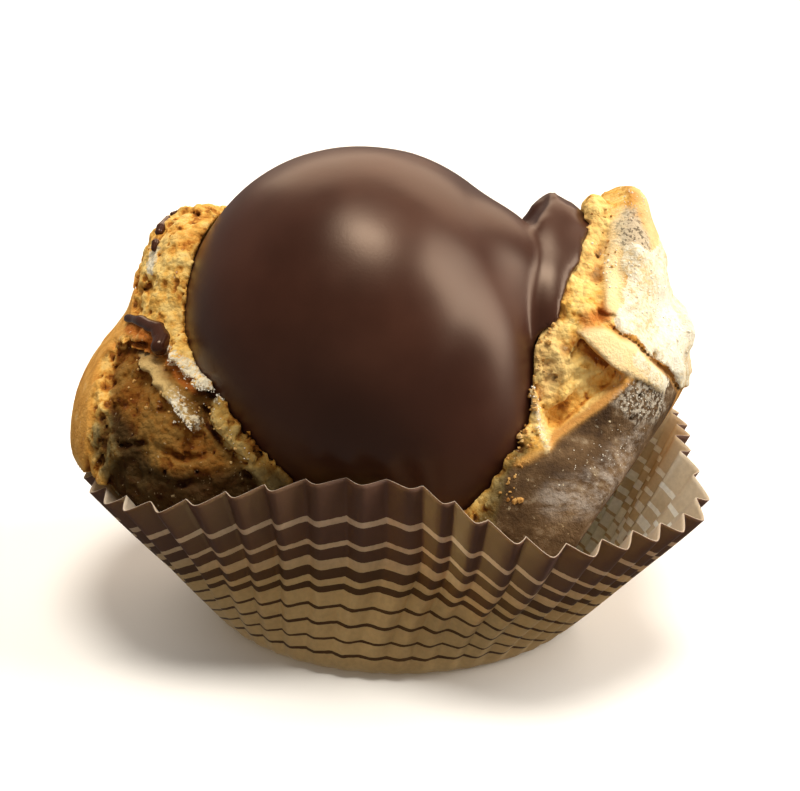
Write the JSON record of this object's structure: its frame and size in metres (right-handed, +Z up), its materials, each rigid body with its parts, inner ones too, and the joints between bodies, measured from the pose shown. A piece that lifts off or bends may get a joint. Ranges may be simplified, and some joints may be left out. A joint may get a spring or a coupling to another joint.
{
  "type": "amaretti cookie",
  "caption": "Cracked almond biscuit split open around a chocolate-coated dome of filling, sitting in a pleated paper baking case.",
  "frame": {"origin": "centre of the paper case's flat bottom, on the surface it stands on", "axes": "+Z up; +X from the lower, broken half of the biscuit to the taller half; -Y is the front"},
  "size_m": [0.0874, 0.075, 0.0649],
  "materials": {
    "paper": "matt, brown with cream rings",
    "biscuit": "matt, porous",
    "chocolate": "satin"
  },
  "bodies": {
    "root": {"paper_case": "paper", "biscuit": "biscuit", "chocolate_dome": "chocolate"}
  },
  "joints": []
}
